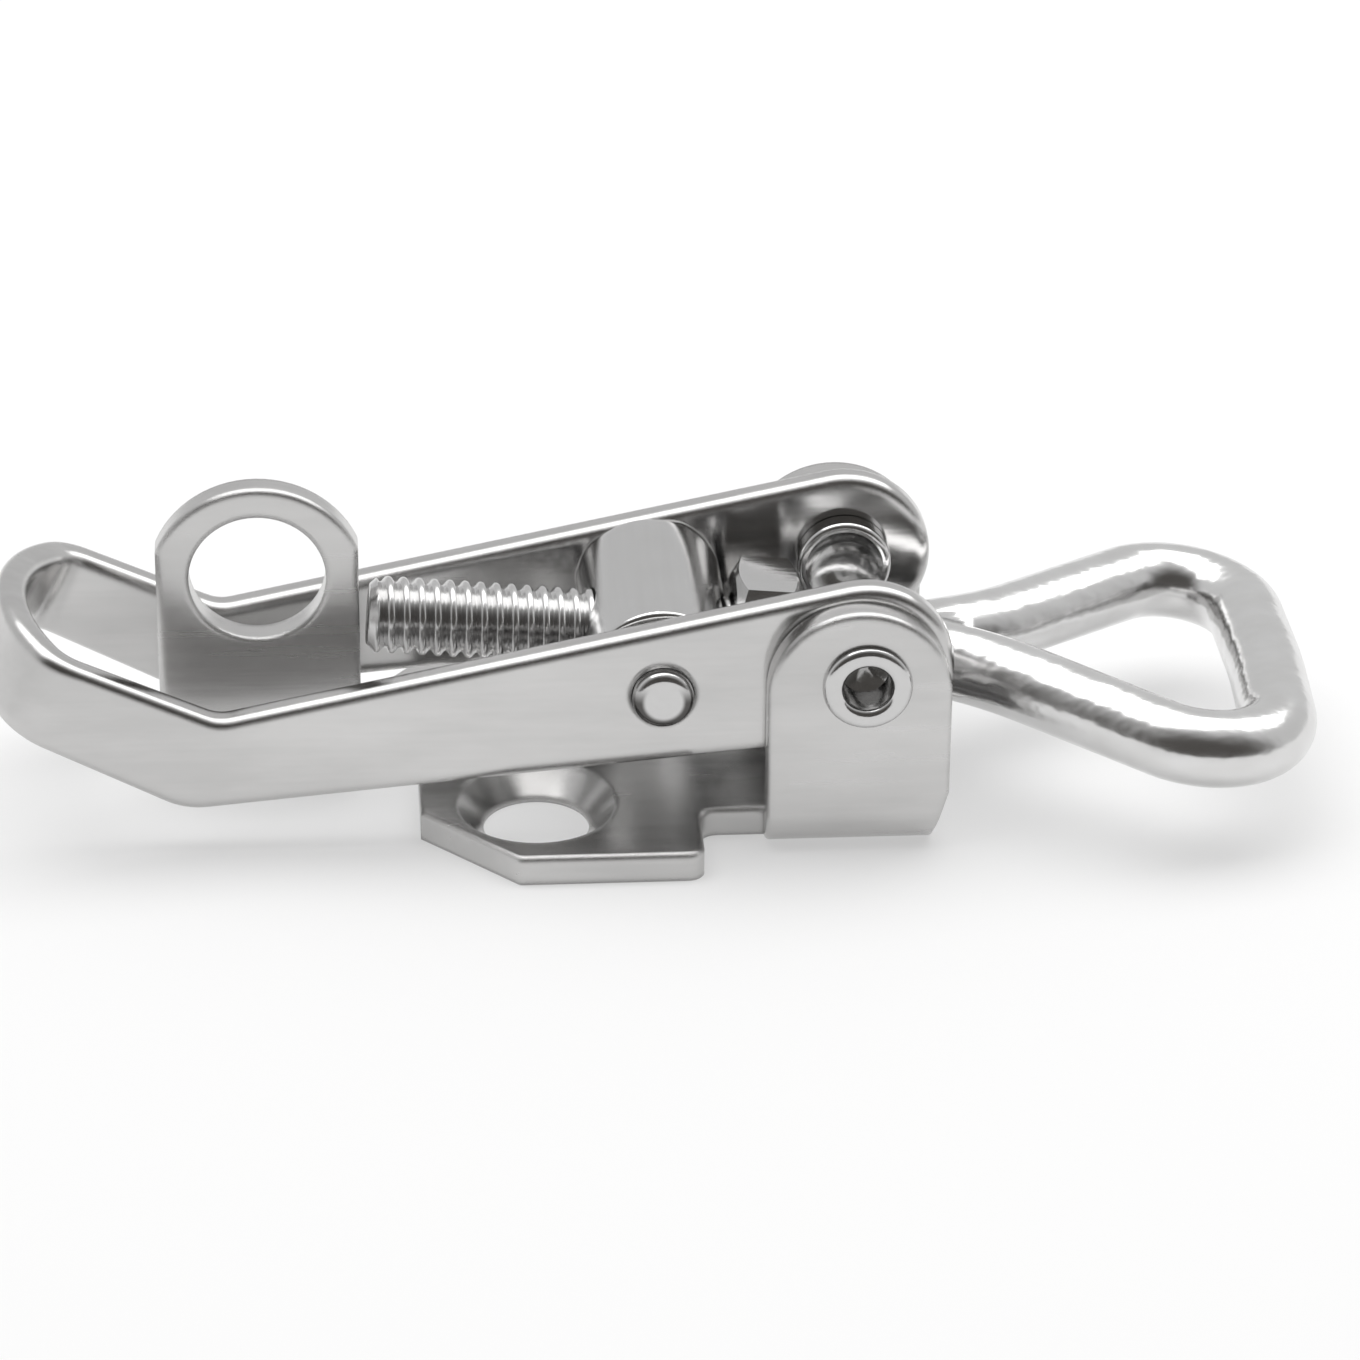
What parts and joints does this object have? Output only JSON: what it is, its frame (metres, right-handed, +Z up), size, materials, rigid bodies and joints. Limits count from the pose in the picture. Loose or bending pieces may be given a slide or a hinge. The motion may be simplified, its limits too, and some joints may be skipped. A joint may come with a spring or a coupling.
{
  "type": "over centre toggle latch",
  "caption": "Adjustable over centre toggle latch: U lever on a flat base with a padlock tab, and a threaded eye bolt through a trunnion.",
  "frame": {"origin": "point on the base plate's underside, in the middle plane, right under the lever pivot", "axes": "+X along the latch from the handle to the eye, +Y across to the far ear, +Z up out of the base"},
  "size_m": [0.1104, 0.0358, 0.0279],
  "materials": {
    "plate_steel": "zinc plated sheet, satin with fine straight grain",
    "lever_steel": "zinc plated strip, satin on its edges, semi bright on its faces",
    "bolt_steel": "bright nickel plated steel with small dents",
    "turned_steel": "bright plated steel with fine turning lines"
  },
  "bodies": {
    "base": {"base_plate": "plate_steel", "pivot_rivet_near": "turned_steel", "pivot_rivet_far": "turned_steel"},
    "lever": {"lever": "lever_steel"},
    "trunnion": {"trunnion": "turned_steel"},
    "eye_bolt": {"eye_bolt": "bolt_steel"},
    "lock_nut": {"lock_nut": "turned_steel"}
  },
  "joints": [
    {"name": "lever_swing", "type": "hinge", "parent": "base", "child": "lever", "pos_m": [0, 0, 0.01537], "axis": [0, 1, 0], "range_deg": [0, 150]},
    {"name": "trunnion_turn", "type": "hinge", "parent": "lever", "child": "trunnion", "pos_m": [-0.01632, 0, 0.0135], "axis": [0, 1, 0], "range_deg": [-150, 0]},
    {"name": "bolt_adjust", "type": "slide", "parent": "trunnion", "child": "eye_bolt", "axis": [0.9956, 0, -0.0941], "range_m": [0, 0.012]},
    {"name": "nut_turn", "type": "hinge", "parent": "eye_bolt", "child": "lock_nut", "pos_m": [-0.00751, 0, 0.01267], "axis": [0.9956, 0, -0.0941], "continuous": true}
  ],
  "couplings": [
    {"joint": "trunnion_turn", "follows": "lever_swing", "ratio": -1}
  ]
}
